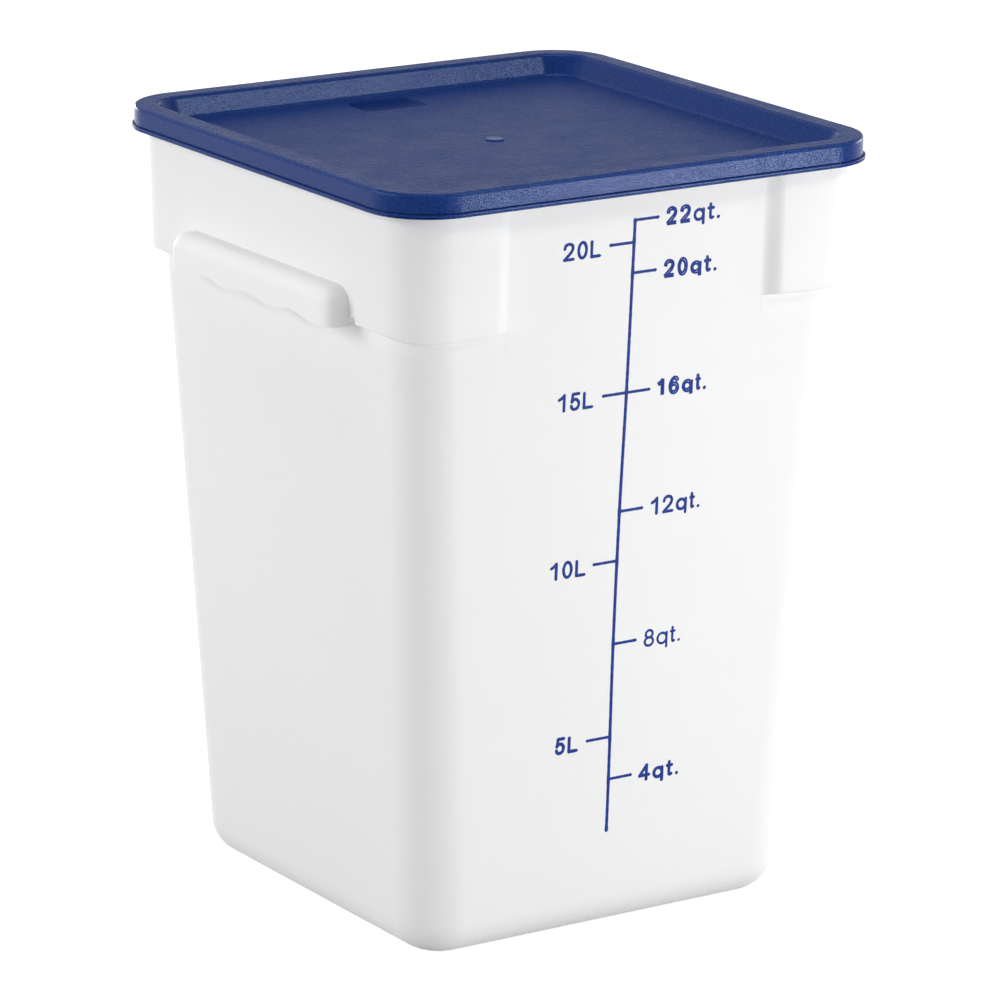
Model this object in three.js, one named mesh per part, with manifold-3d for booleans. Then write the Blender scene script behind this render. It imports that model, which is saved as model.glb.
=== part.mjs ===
// Square food storage container: a tapered white tub with two finger handles, a blue lid that
// lifts off, and a printed volume scale. Millimetres, +Z up, the front with the scale faces -Y,
// and the origin is the middle of the base.
import * as THREE from 'three';
import { mergeVertices } from 'three/addons/utils/BufferGeometryUtils.js';
import Module from 'manifold-3d';

const wasm = await Module();
wasm.setup();

// Tub wall: a square that widens from the ground to the rim
const TUB_HEIGHT = 400;
const TUB_BASE_WIDTH = 226.2;
const TUB_RIM_WIDTH = 265.5;
const TUB_BASE_CORNER_RADIUS = 26.5;
const TUB_RIM_CORNER_RADIUS = 23.5;
const TUB_WALL = 3.8;

// Foot: a wide fillet, a flat ring to stand on and a shallow hollow inside it
const FOOT_RADIUS = 19.5;
const FOOT_RING_WIDTH = 14;
const FOOT_HOLLOW_DEPTH = 1.2;
const FLOOR_THICKNESS = 4;

// Collar: the wider band round the top
const COLLAR_HEIGHT = 72.6;
const COLLAR_BOTTOM_WIDTH = 269.8;
const COLLAR_RIM_WIDTH = 272.7;
const COLLAR_CORNER_RADIUS = 25.4;
const COLLAR_EDGE_RADIUS = 1.5;
const COLLAR_UNDERSIDE_RISE = 0.4;

// Bay: the middle of the front and back, where the wall runs on up through the collar
const BAY_WIDTH = 150;
const BAY_RAMP_WIDTH = 11;
const BAY_TOP_DROP = 10;
const BAY_FLARE_HEIGHT = 4;

// Rim: the outward lip that the lid's skirt closes over
const RIM_LIP_REACH = 3.6;
const RIM_LIP_HEIGHT = 4;
const RIM_EDGE_RADIUS = 0.8;

// Finger handles on the left and right of the collar, hollow and open underneath
const HANDLE_LENGTH = 157;
const HANDLE_REACH = 12.5;
const HANDLE_TOP_DROP = 53.7;
const HANDLE_HEIGHT = 18;
const HANDLE_CORNER_RADIUS = 10;
const HANDLE_FACE_RADIUS = 7.5;
const HANDLE_WALL = 2.5;
const HANDLE_ROOT_DEPTH = 1.5;
const HANDLE_POCKET_SKIN = 0.4;
const FINGER_WAVE_PITCH = 43;
const FINGER_WAVES = 3;
const FINGER_WAVE_HEIGHT = 1.4;
const HANDLE_TAB_REACH = 4.7;
const HANDLE_TAB_HEIGHT = 4.5;
const HANDLE_TAB_SLANT = 1.5;

// Lid: its rim, skirt and bead follow the collar's outline at their own offsets
const LID_TOP_THICKNESS = 3;
const LID_RIM_WIDTH = 12;
const LID_RIM_ROUND = 2;
const LID_SKIRT_CLEARANCE = 0.5;
const LID_SKIRT_THICKNESS = 2.5;
const LID_SKIRT_DEPTH = 9.2;
const LID_BEAD_REACH = 1.7;
const LID_BEAD_HEIGHT = 2.6;
const LID_BEAD_ROUND = 1;
const LID_PANEL_DEPTH = 11.3;
const LID_PANEL_THICKNESS = 2.4;
const LID_PANEL_ROUND = 2.5;
const LID_WALL_RUN = 6.3;

// Small features on the lid's panel: a shallow bare recess near the back and a round moulding
// mark in the middle
const RECESS_WIDTH = 37;
const RECESS_LENGTH = 25;
const RECESS_DEPTH = 0.5;
const RECESS_CORNER_RADIUS = 4;
const RECESS_BACK_GAP = 7;
const MARK_RADIUS = 5.3;
const MARK_HEIGHT = 0.7;

// Printed scale on the front wall, with its ticks at shares of the tub's height. The line leans a
// little to the right towards its top.
const SCALE_START_X = -5.2;
const SCALE_END_X = -2.9;
const SCALE_LINE_WIDTH = 1.6;
const SCALE_TICK_WIDTH = 1.3;
const SCALE_TICK_LENGTH = 14.5;
const SCALE_THICKNESS = 0.5;
const SCALE_GAP = 0.3;
const SCALE_START_SHARE = 0.135;
const SCALE_END_SHARE = 0.937;
const QUART_TICK_SHARES = [0.205, 0.3865, 0.5615, 0.717, 0.87];
const LITRE_TICK_SHARES = [0.263, 0.497, 0.716, 0.9085];

// How finely round stretches are cut
const CORNER_STEPS = 9;
const RAMP_STEPS = 5;
const FOOT_STEPS = 6;
const EDGE_STEPS = 3;
const FACE_STEPS = 4;
const WAVE_STEPS = 8;
const MARK_SIDES = 24;

// A small overrun that carries a cut past the face it opens
const OVERRUN = 1;

const tubSlope = (TUB_RIM_WIDTH - TUB_BASE_WIDTH) / 2 / TUB_HEIGHT;
const tubLean = Math.atan(tubSlope);
const collarBottomZ = TUB_HEIGHT - COLLAR_HEIGHT;
const collarSlope = (COLLAR_RIM_WIDTH - COLLAR_BOTTOM_WIDTH) / 2 / COLLAR_HEIGHT;
const collarUndersideZ = collarBottomZ - COLLAR_UNDERSIDE_RISE;
const bayHalfWidth = BAY_WIDTH / 2 + BAY_RAMP_WIDTH;

// Half the width of the tapered wall at a height
function wallHalf(z) {
  return TUB_BASE_WIDTH / 2 + tubSlope * z;
}

// The radius of the tapered wall's corners at a height
function wallCorner(z) {
  const share = z / TUB_HEIGHT;
  return TUB_BASE_CORNER_RADIUS * (1 - share) + TUB_RIM_CORNER_RADIUS * share;
}

// Half the width of the collar at a height
function collarHalf(z) {
  return COLLAR_BOTTOM_WIDTH / 2 + collarSlope * (z - collarBottomZ);
}

// Points along an arc, each as its distances along two directions from the arc's centre
function arc(radius, steps, from, to) {
  const points = [];
  for (let step = 0; step <= steps; step++) {
    const angle = from + (to - from) * step / steps;
    points.push([radius * Math.cos(angle), radius * Math.sin(angle)]);
  }
  return points;
}

// The two ramps of a bay, in the order in which the outline meets them. facing is 1 on the back
// of the square and -1 on its front, and reach is how far the straight side goes.
function bayRamps(half, bayHalf, reach, facing) {
  const squeeze = Math.min(1, reach / (bayHalfWidth + OVERRUN));
  const ramp = [];
  for (let step = 0; step <= RAMP_STEPS; step++) {
    const share = step / RAMP_STEPS;
    const eased = share * share * (3 - 2 * share);
    const x = (bayHalfWidth - BAY_RAMP_WIDTH * share) * squeeze;
    ramp.push([x * facing, (half + (bayHalf - half) * eased) * facing]);
  }
  const otherRamp = ramp.map(([x, y]) => [-x, y]).reverse();
  return [...ramp, ...otherRamp];
}

// A level ring round the container: a square with round corners, run anticlockwise as seen from
// above. Its front and back lie at bayHalf from the middle inside the bay.
function squareRing(half, radius, z, bayHalf = half) {
  const points = [];
  const reach = half - radius;
  for (let corner = 0; corner < 4; corner++) {
    const turn = corner * Math.PI / 2;
    const sideX = Math.sign(Math.cos(turn + Math.PI / 4));
    const sideY = Math.sign(Math.sin(turn + Math.PI / 4));
    for (const [x, y] of arc(radius, CORNER_STEPS, turn, turn + Math.PI / 2)) {
      points.push([sideX * reach + x, sideY * reach + y]);
    }
    if (corner % 2 === 0) {
      points.push(...bayRamps(half, bayHalf, reach, sideY));
    }
  }
  return points.map(([x, y]) => new THREE.Vector3(x, y, z));
}

// A closed skin through rings of equal count, with a flat cap on its first and its last ring
function skin(rings) {
  const count = rings[0].length;
  const firstCentre = rings.length * count;
  const lastCentre = firstCentre + 1;
  const lastRing = firstCentre - count;
  const centreOf = (ring) => ring.reduce((sum, point) => sum.add(point), new THREE.Vector3())
    .divideScalar(count);
  const points = [...rings.flat(), centreOf(rings[0]), centreOf(rings.at(-1))];
  const indices = [];
  for (let i = 0; i < count; i++) {
    const next = (i + 1) % count;
    for (let start = 0; start < lastRing; start += count) {
      indices.push(start + i, start + next, start + count + next);
      indices.push(start + i, start + count + next, start + count + i);
    }
    indices.push(firstCentre, next, i);
    indices.push(lastCentre, lastRing + i, lastRing + next);
  }
  const geometry = new THREE.BufferGeometry().setFromPoints(points);
  geometry.setIndex(indices);
  return geometry;
}

// A solid for joining and cutting
function solid(geometry) {
  const bare = geometry.clone();
  bare.deleteAttribute('normal');
  bare.deleteAttribute('uv');
  const merged = mergeVertices(bare);
  return new wasm.Manifold(new wasm.Mesh({
    numProp: 3,
    vertProperties: new Float32Array(merged.attributes.position.array),
    triVerts: new Uint32Array(merged.index.array),
  }));
}

// A named mesh from a solid, with flat facets
function meshOf(name, body, material) {
  const { vertProperties, triVerts } = body.getMesh();
  const shared = new THREE.BufferGeometry();
  shared.setAttribute('position', new THREE.BufferAttribute(vertProperties, 3));
  shared.setIndex(new THREE.BufferAttribute(triVerts, 1));
  const geometry = shared.toNonIndexed();
  geometry.computeVertexNormals();
  const mesh = new THREE.Mesh(geometry, material);
  mesh.name = name;
  return mesh;
}

// Rings of the foot's fillet, from the floor out to where it meets the leaning wall
function footRings(inset, floorZ) {
  const radius = FOOT_RADIUS - inset;
  const centreZ = floorZ + radius;
  const meetZ = centreZ - radius * Math.sin(tubLean);
  const meetHalf = wallHalf(meetZ);
  const centreHalf = meetHalf - inset - radius * Math.cos(tubLean);
  return arc(radius, FOOT_STEPS, -Math.PI / 2, -tubLean).map(([out, up]) => {
    const half = centreHalf + out;
    return squareRing(half, wallCorner(meetZ) - (meetHalf - half), centreZ + up);
  });
}

// Rings from the top of the plain wall up the collar to where its bays have flared out
function collarRings(inset) {
  const underZ = collarUndersideZ + inset;
  const edgeCentreZ = collarBottomZ + inset + COLLAR_EDGE_RADIUS;
  const bayTopZ = TUB_HEIGHT - BAY_TOP_DROP;
  const flareTopZ = bayTopZ + BAY_FLARE_HEIGHT;
  const corner = COLLAR_CORNER_RADIUS - inset;
  const edge = arc(COLLAR_EDGE_RADIUS, EDGE_STEPS, -Math.PI / 2, 0).map(([out, up]) => {
    const z = edgeCentreZ + up;
    const drawnIn = COLLAR_EDGE_RADIUS - out;
    return squareRing(collarHalf(z) - inset - drawnIn, corner - drawnIn, z, wallHalf(z) - inset);
  });
  return [
    squareRing(wallHalf(underZ) - inset, wallCorner(underZ) - inset, underZ),
    ...edge,
    squareRing(collarHalf(bayTopZ) - inset, corner, bayTopZ, wallHalf(bayTopZ) - inset),
    squareRing(collarHalf(flareTopZ) - inset, corner, flareTopZ),
  ];
}

// A ring that follows the rim's outline at an offset
function rimRing(offset, z) {
  return squareRing(COLLAR_RIM_WIDTH / 2 + offset, COLLAR_CORNER_RADIUS + offset, z);
}

// Rings of the rim: its outward lip, the lip's round edge and the flat top
function rimRings() {
  const lipBottomZ = TUB_HEIGHT - RIM_LIP_HEIGHT;
  const roundZ = TUB_HEIGHT - RIM_EDGE_RADIUS;
  const round = arc(RIM_EDGE_RADIUS, EDGE_STEPS, 0, Math.PI / 2).map(
    ([out, up]) => rimRing(RIM_LIP_REACH - RIM_EDGE_RADIUS + out, roundZ + up),
  );
  return [
    rimRing(0, lipBottomZ),
    rimRing(RIM_LIP_REACH, lipBottomZ),
    ...round,
    rimRing(-TUB_WALL, TUB_HEIGHT),
  ];
}

// The tub without its handles: from under the base up the outside, over the rim and down inside
function tubShell() {
  const outside = footRings(0, 0);
  const standHalf = outside[0][0].x;
  const standCorner = standHalf - outside[0][0].y;
  const hollowHalf = standHalf - FOOT_RING_WIDTH;
  const hollow = [
    squareRing(hollowHalf - FOOT_HOLLOW_DEPTH, standCorner, FOOT_HOLLOW_DEPTH),
    squareRing(hollowHalf, standCorner, 0),
  ];
  const floorZ = FOOT_HOLLOW_DEPTH + FLOOR_THICKNESS;
  const inside = [...footRings(TUB_WALL, floorZ), ...collarRings(TUB_WALL)].reverse();
  return solid(skin([...hollow, ...outside, ...collarRings(0), ...rimRings(), ...inside]));
}

// The height of a handle's lower edge at a place along it. Three finger waves end in low, straight
// stretches.
function fingerEdge(y) {
  const middleZ = TUB_HEIGHT - HANDLE_TOP_DROP - HANDLE_HEIGHT;
  const turns = Math.min(Math.abs(y) / FINGER_WAVE_PITCH, FINGER_WAVES / 2);
  return middleZ + FINGER_WAVE_HEIGHT * Math.cos(2 * Math.PI * turns);
}

// A ring with the outline of the left handle, at a distance out from the collar and drawn in by
// an inset at its top and ends. lowerEdge gives the height of its lower edge.
function handleRing(out, inset, lowerEdge) {
  const end = HANDLE_LENGTH / 2 - inset;
  const top = TUB_HEIGHT - HANDLE_TOP_DROP - inset;
  const radius = Math.max(HANDLE_CORNER_RADIUS - inset, HANDLE_WALL);
  const waveSteps = Math.round(HANDLE_LENGTH / FINGER_WAVE_PITCH * WAVE_STEPS);
  const outline = [];
  for (let step = 0; step <= waveSteps; step++) {
    const y = end - 2 * end * step / waveSteps;
    outline.push([y, lowerEdge(y)]);
  }
  for (const [along, up] of arc(radius, EDGE_STEPS, Math.PI, Math.PI / 2)) {
    outline.push([along + radius - end, top - radius + up]);
  }
  for (const [along, up] of arc(radius, EDGE_STEPS, Math.PI / 2, 0)) {
    outline.push([end - radius + along, top - radius + up]);
  }
  return outline.map(([y, z]) => new THREE.Vector3(-collarHalf(z) - out, y, z));
}

// Rings that round a handle's face over, from its sides to its flat front at reach
function handleFace(reach, radius, inset, lowerEdge) {
  return arc(radius, FACE_STEPS, 0, Math.PI / 2).map(
    ([side, out]) => handleRing(reach - radius + out, inset + radius - side, lowerEdge),
  );
}

// The left handle, before its pocket is cut
function handleBlock() {
  const root = handleRing(-HANDLE_ROOT_DEPTH, 0, () => collarBottomZ);
  return skin([root, ...handleFace(HANDLE_REACH, HANDLE_FACE_RADIUS, 0, fingerEdge)]);
}

// The finger pocket of the left handle, which opens downwards
function handlePocket() {
  const openZ = fingerEdge(FINGER_WAVE_PITCH / 2) - OVERRUN;
  const lowerEdge = () => openZ;
  const back = handleRing(HANDLE_POCKET_SKIN, HANDLE_WALL, lowerEdge);
  const reach = HANDLE_REACH - HANDLE_WALL;
  const face = handleFace(reach, HANDLE_FACE_RADIUS - HANDLE_WALL, HANDLE_WALL, lowerEdge);
  return skin([back, ...face]);
}

// A small tab at the foot of one end of the left handle, which tapers off along that end.
// side is 1 at the handle's back end and -1 at its front end.
function handleTab(side) {
  const root = HANDLE_LENGTH / 2 - HANDLE_ROOT_DEPTH;
  const tabRing = (out, reach) => {
    const tip = root + reach;
    const slant = HANDLE_TAB_SLANT * reach / (HANDLE_ROOT_DEPTH + HANDLE_TAB_REACH);
    const outline = [
      [tip, collarBottomZ],
      [root, collarBottomZ],
      [root, collarBottomZ + HANDLE_TAB_HEIGHT],
      [tip - slant, collarBottomZ + HANDLE_TAB_HEIGHT - COLLAR_UNDERSIDE_RISE],
    ];
    const ring = outline.map(([y, z]) => new THREE.Vector3(-collarHalf(z) - out, y * side, z));
    return side > 0 ? ring : ring.reverse();
  };
  return skin([
    tabRing(-HANDLE_ROOT_DEPTH, HANDLE_ROOT_DEPTH + HANDLE_TAB_REACH),
    tabRing(HANDLE_REACH - HANDLE_FACE_RADIUS, HANDLE_ROOT_DEPTH),
  ]);
}

// The whole tub, with a handle on its left and one on its right
function tub() {
  const sides = [0, Math.PI];
  const onBothSides = (geometry) => sides.map((turn) => solid(geometry.clone().rotateZ(turn)));
  const added = [handleBlock(), handleTab(1), handleTab(-1)].flatMap(onBothSides);
  const joined = added.reduce((body, piece) => body.add(piece), tubShell());
  return onBothSides(handlePocket()).reduce((body, pocket) => body.subtract(pocket), joined);
}

// A section of the lid as offsets and heights, with its named corners rounded over
function roundedSection(corners) {
  const path = new THREE.Path();
  const points = corners.map(([offset, z]) => new THREE.Vector2(offset, z));
  const towards = (from, to, distance) => to.clone().sub(from).setLength(distance).add(from);
  path.moveTo(points[0].x, points[0].y);
  for (let i = 1; i + 1 < points.length; i++) {
    const round = corners[i][2];
    if (round === 0) {
      path.lineTo(points[i].x, points[i].y);
      continue;
    }
    const before = towards(points[i], points[i - 1], round);
    const after = towards(points[i], points[i + 1], round);
    path.lineTo(before.x, before.y);
    path.quadraticCurveTo(points[i].x, points[i].y, after.x, after.y);
  }
  path.lineTo(points.at(-1).x, points.at(-1).y);
  return path.getPoints(EDGE_STEPS);
}

// A rectangle with round corners about the middle
function roundedRectangle(width, length, radius) {
  const right = width / 2;
  const back = length / 2;
  const shape = new THREE.Shape();
  shape.moveTo(radius - right, -back);
  shape.lineTo(right - radius, -back);
  shape.absarc(right - radius, radius - back, radius, -Math.PI / 2, 0);
  shape.absarc(right - radius, back - radius, radius, 0, Math.PI / 2);
  shape.absarc(radius - right, back - radius, radius, Math.PI / 2, Math.PI);
  shape.absarc(radius - right, radius - back, radius, Math.PI, Math.PI * 3 / 2);
  return shape;
}

// The lid: from under the panel, out and round the skirt, over the rim and down to the panel
function lid() {
  const topZ = TUB_HEIGHT + LID_TOP_THICKNESS;
  const panelZ = topZ - LID_PANEL_DEPTH;
  const plugZ = panelZ - LID_PANEL_THICKNESS;
  const skirtZ = TUB_HEIGHT - LID_SKIRT_DEPTH;
  const skirtIn = RIM_LIP_REACH + LID_SKIRT_CLEARANCE;
  const skirtOut = skirtIn + LID_SKIRT_THICKNESS;
  const beadOut = skirtOut + LID_BEAD_REACH;
  const rimIn = skirtOut - LID_RIM_WIDTH;
  const panelOut = rimIn - LID_WALL_RUN;
  const wallSlope = LID_WALL_RUN / LID_PANEL_DEPTH;
  const wallOffset = LID_PANEL_THICKNESS * Math.hypot(1, wallSlope);
  const plugTop = rimIn - wallSlope * LID_TOP_THICKNESS + wallOffset;
  const plugFoot = plugTop - wallSlope * (TUB_HEIGHT - plugZ);
  const section = roundedSection([
    [plugFoot - 2 * LID_PANEL_ROUND, plugZ, 0],
    [plugFoot, plugZ, LID_PANEL_ROUND],
    [plugTop, TUB_HEIGHT, 0],
    [skirtIn, TUB_HEIGHT, 0],
    [skirtIn, skirtZ, 0],
    [beadOut, skirtZ, LID_BEAD_ROUND],
    [beadOut, skirtZ + LID_BEAD_HEIGHT, LID_BEAD_ROUND],
    [skirtOut, skirtZ + LID_BEAD_HEIGHT, 0],
    [skirtOut, topZ, LID_RIM_ROUND],
    [rimIn, topZ, LID_RIM_ROUND],
    [panelOut, panelZ, LID_RIM_ROUND],
    [panelOut - 2 * LID_PANEL_ROUND, panelZ, 0],
  ]);
  const body = solid(skin(section.map((point) => rimRing(point.x, point.y))));

  const recessY = COLLAR_RIM_WIDTH / 2 + panelOut - RECESS_BACK_GAP - RECESS_LENGTH / 2;
  const recess = new THREE.ExtrudeGeometry(
    roundedRectangle(RECESS_WIDTH, RECESS_LENGTH, RECESS_CORNER_RADIUS),
    { depth: RECESS_DEPTH + OVERRUN, bevelEnabled: false, curveSegments: EDGE_STEPS },
  );
  recess.translate(0, recessY, panelZ - RECESS_DEPTH);
  const markRoot = LID_PANEL_THICKNESS / 2;
  const mark = new THREE.CylinderGeometry(MARK_RADIUS, MARK_RADIUS, markRoot + MARK_HEIGHT, MARK_SIDES);
  mark.rotateX(Math.PI / 2);
  mark.translate(0, 0, panelZ + (MARK_HEIGHT - markRoot) / 2);
  return body.subtract(solid(recess)).add(solid(mark));
}

// The printed scale, drawn flat: a line with quart ticks on its right and litre ticks on its left
function scaleShape() {
  const alongWall = (share) => share * TUB_HEIGHT / Math.cos(tubLean);
  const side = SCALE_LINE_WIDTH / 2;
  const half = SCALE_TICK_WIDTH / 2;
  const startY = alongWall(SCALE_START_SHARE);
  const endY = alongWall(SCALE_END_SHARE);
  const tick = (edge, tip, from, to) => [[edge, from], [tip, from], [tip, to], [edge, to]];
  const quarts = QUART_TICK_SHARES.map(alongWall).flatMap(
    (y) => tick(side, SCALE_TICK_LENGTH, y - half, y + half),
  );
  const litres = LITRE_TICK_SHARES.map(alongWall).reverse().flatMap(
    (y) => tick(-side, -SCALE_TICK_LENGTH, y + half, y - half),
  );
  const outline = [
    [-side, startY],
    [side, startY],
    ...quarts,
    [side, endY - SCALE_TICK_WIDTH],
    [SCALE_TICK_LENGTH, endY - SCALE_TICK_WIDTH],
    [SCALE_TICK_LENGTH, endY],
    [-side, endY],
    ...litres,
  ];
  const lineX = (y) => SCALE_START_X + (SCALE_END_X - SCALE_START_X) * (y - startY) / (endY - startY);
  return new THREE.Shape(outline.map(([x, y]) => new THREE.Vector2(lineX(y) + x, y)));
}

const whitePlastic = new THREE.MeshStandardMaterial({ color: 0xf2f3f3, roughness: 0.42, metalness: 0 });
const bluePlastic = new THREE.MeshStandardMaterial({ color: 0x1f3f83, roughness: 0.55, metalness: 0 });
const blueInk = new THREE.MeshStandardMaterial({ color: 0x1c4596, roughness: 0.5, metalness: 0 });

const container = new THREE.Group();
container.add(meshOf('tub', tub(), whitePlastic));
container.add(meshOf('lid', lid(), bluePlastic));

// The scale leans with the wall and lies just clear of it
const scaleGeometry = new THREE.ExtrudeGeometry(scaleShape(), { depth: SCALE_THICKNESS, bevelEnabled: false });
const scaleLine = new THREE.Mesh(scaleGeometry, blueInk);
scaleLine.name = 'scale_line';
scaleLine.rotation.x = Math.PI / 2 + tubLean;
scaleLine.position.y = -TUB_BASE_WIDTH / 2 - SCALE_GAP / Math.cos(tubLean);
container.add(scaleLine);

export default container;
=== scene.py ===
"""Looks of the square food storage container: a white tub, a blue lid and a printed scale.

Metres, +Z up, the front with the scale faces -Y, and the origin is the middle of the base.
"""
import math

import bmesh
import bpy
from mathutils import Matrix, Vector
from mathutils.geometry import delaunay_2d_cdt


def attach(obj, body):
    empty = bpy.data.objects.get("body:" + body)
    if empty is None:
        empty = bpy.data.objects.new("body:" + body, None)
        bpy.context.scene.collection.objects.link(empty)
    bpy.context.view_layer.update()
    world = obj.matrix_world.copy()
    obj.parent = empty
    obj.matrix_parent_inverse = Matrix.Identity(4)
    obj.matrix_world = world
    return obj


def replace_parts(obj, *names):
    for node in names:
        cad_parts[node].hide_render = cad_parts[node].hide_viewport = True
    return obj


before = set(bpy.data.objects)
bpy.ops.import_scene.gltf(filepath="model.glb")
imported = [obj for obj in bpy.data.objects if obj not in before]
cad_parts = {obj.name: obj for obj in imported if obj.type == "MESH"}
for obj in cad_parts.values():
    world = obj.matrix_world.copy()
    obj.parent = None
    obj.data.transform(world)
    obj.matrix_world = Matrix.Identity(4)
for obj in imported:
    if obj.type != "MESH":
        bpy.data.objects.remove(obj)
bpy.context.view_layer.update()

MM = 0.001
DEG = math.pi / 180

# Camera, fitted to the outlines in the photo
CAMERA_AZIMUTH = -33.025 * DEG
CAMERA_ELEVATION = 15.389 * DEG
CAMERA_DISTANCE = 2944.26 * MM
CAMERA_TARGET = Vector((0, 0, 200 * MM))
CAMERA_PAN = -0.0799 * DEG
CAMERA_TILT = 0.0151 * DEG
CAMERA_ROLL = -0.428 * DEG
CAMERA_LENS = 204.144
CAMERA_SENSOR = 36

# Tub, as in the solids
TUB_HEIGHT = 400 * MM
TUB_BASE_HALF = 113.1 * MM
TUB_RIM_HALF = 132.75 * MM
TUB_BASE_CORNER = 26.5 * MM
TUB_RIM_CORNER = 23.5 * MM
TUB_WALL = 3.8 * MM
FOOT_RADIUS = 19.5 * MM
FOOT_RING_WIDTH = 14 * MM
FOOT_HOLLOW_DEPTH = 1.2 * MM
FLOOR_THICKNESS = 4 * MM

# Slight bow of the four walls: its depth, half its length along a wall, and the height where it ends
WALL_BULGE = 1.2 * MM
BULGE_REACH = 95 * MM
BULGE_TOP_Z = 370 * MM

COLLAR_BOTTOM_Z = 327.4 * MM
COLLAR_BOTTOM_HALF = 134.9 * MM
COLLAR_RIM_HALF = 136.35 * MM
COLLAR_CORNER = 25.4 * MM
COLLAR_EDGE_RADIUS = 1.3 * MM
COLLAR_UNDERSIDE_RISE = 0.4 * MM

# The collar's lower edge isn't quite level. It rises along the sides, drops round the corners, and
# rises again towards the middle of the front and back
COLLAR_WARP_HEIGHT = 20 * MM
COLLAR_SIDE_LIFT = 0.7 * MM
COLLAR_SIDE_END = 109.5 * MM
COLLAR_CORNER_DROP = 1.0 * MM
COLLAR_CORNER_TURN = 50 * DEG
COLLAR_MIDDLE_LIFT = 0.6 * MM
COLLAR_MIDDLE_END = 90 * MM
COLLAR_MIDDLE_FADE = 25 * MM

BAY_HALF = 75 * MM
BAY_RAMP = 11 * MM
BAY_TOP_Z = 390 * MM
BAY_FLARE_Z = 394 * MM

RIM_LIP_REACH = 3.6 * MM
RIM_LIP_Z = 396 * MM
RIM_ROUND = 0.8 * MM

# Handles. WAVE_END is how many waves of the finger grip lie on each side of the middle
HANDLE_HALF = 78.5 * MM
HANDLE_REACH = 12.5 * MM
HANDLE_TOP_Z = 346.3 * MM
HANDLE_MIDDLE_Z = 328.3 * MM
HANDLE_CORNER = 10 * MM
HANDLE_ROUND = 7.5 * MM
HANDLE_WALL = 2.5 * MM
HANDLE_ROOT = 1.5 * MM
WAVE_PITCH = 43 * MM
WAVE_HEIGHT = 1.4 * MM
WAVE_END = 1.5

# Notch in the collar's lower edge beside each end of a handle, and the part of the handle's root
# that reaches further in, up to the wall that shows through the notch
NOTCH_WIDTH = 4.6 * MM
NOTCH_HEIGHT = 3.4 * MM
NOTCH_SLOPE_SHARE = 0.3
HANDLE_DEEP_ROOT = 5.2 * MM
HANDLE_DEEP_TOP_Z = 334 * MM

# Lid, as offsets from the rim's outline
LID_TOP_Z = 403 * MM
LID_PANEL_Z = 391.7 * MM
LID_SKIRT_Z = 390.8 * MM
LID_BEAD_Z = 392.9 * MM
BEAD_FOOT_INSET = 0.1 * MM
BEAD_LINE_SHARE = 0.42
BEAD_LINE_DEPTH = 0.22 * MM
GROOVE_RISE = 0.05 * MM
GROOVE_DEPTH = 0.4 * MM
GROOVE_HEIGHT = 0.25 * MM
GROOVE_CHAMFER = 0.1 * MM
LID_INNER = 4.1 * MM
LID_SKIRT = 7.05 * MM
LID_BEAD = 8.3 * MM
LID_RIM_WIDTH = 12.45 * MM
LID_WALL_RUN = 6.3 * MM
LID_THICKNESS = 2.4 * MM
PLUG_MARGIN = 5 * MM
PANEL_MARGIN = 3.5 * MM

# How far each corner of the lid's section is cut back to be rounded over
PLUG_ROUND = 2.5 * MM
BEAD_FOOT_ROUND = 0.45 * MM
BEAD_LINE_EDGE_ROUND = 0.12 * MM
BEAD_LINE_ROUND = 0.08 * MM
BEAD_TOP_ROUND = 0.3 * MM
GROOVE_ROUND = 0.1 * MM
RIM_OUTER_ROUND = 2 * MM
RIM_INNER_ROUND = 1.8 * MM
PANEL_ROUND = 2 * MM

# The panel's recess, the round moulding mark in its shallow dish, and the flat border round both
RECESS_HALF_WIDTH = 18.7 * MM
RECESS_HALF_LENGTH = 12.7 * MM
RECESS_CORNER = 4 * MM
RECESS_DEPTH = 0.6 * MM
RECESS_EDGE_SHARE = 0.25
RECESS_BACK_GAP = 6.6 * MM
DISH_RADIUS = 11.5 * MM
DISH_DEPTH = 0.2 * MM
MARK_RADIUS = 5.3 * MM
MARK_HEIGHT = 0.45 * MM
MARK_BEVEL = 0.8 * MM
FLAT_BORDER = 1.2 * MM

# Where the lid's finishes and their painted light and shade change: the outer band of the skirt, and
# walls steeper than this
EDGE_BAND = 1.2 * MM
WALL_FACING = 0.8

SUPPORT_GAP = 0.2 * MM
MERGE_GAP = 0.002 * MM
SHARP_ANGLE = 35 * DEG

# Print
PRINT_HEIGHT = 0.2 * MM
PRINT_SINK = 0.1 * MM
LINE_WIDTH = 1.9 * MM
TICK_WIDTH = 1.6 * MM
RIGHT_TICK = 14.3 * MM
LEFT_TICK = 14.6 * MM
THIN = 1.4 * MM
MEDIUM = 1.75 * MM
BROAD = 1.95 * MM
DOUBLE = 2.2 * MM

DIGIT_HEIGHT = 9.6 * MM
BASELINE_DROP = 5 * MM
BOWL_HEIGHT = 6.9 * MM
DESCENDER = 2.6 * MM
GLYPH_GAP = 1.3 * MM
ONE_GAP = 2.4 * MM
GLYPH_WIDTHS = {"0": 6.5 * MM, "1": 4.8 * MM, "2": 6.9 * MM, "4": 7.5 * MM, "5": 6.2 * MM,
                "6": 6.7 * MM, "8": 6.5 * MM, "L": 6.4 * MM, "q": 7 * MM, ".": 1.8 * MM}
NARROW_T = 3.5 * MM
WIDE_T = 4.6 * MM
GLYPH_HEIGHTS = {"L": 9.2 * MM, "q": BOWL_HEIGHT, "t": 8.9 * MM, ".": 1.8 * MM}

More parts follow.
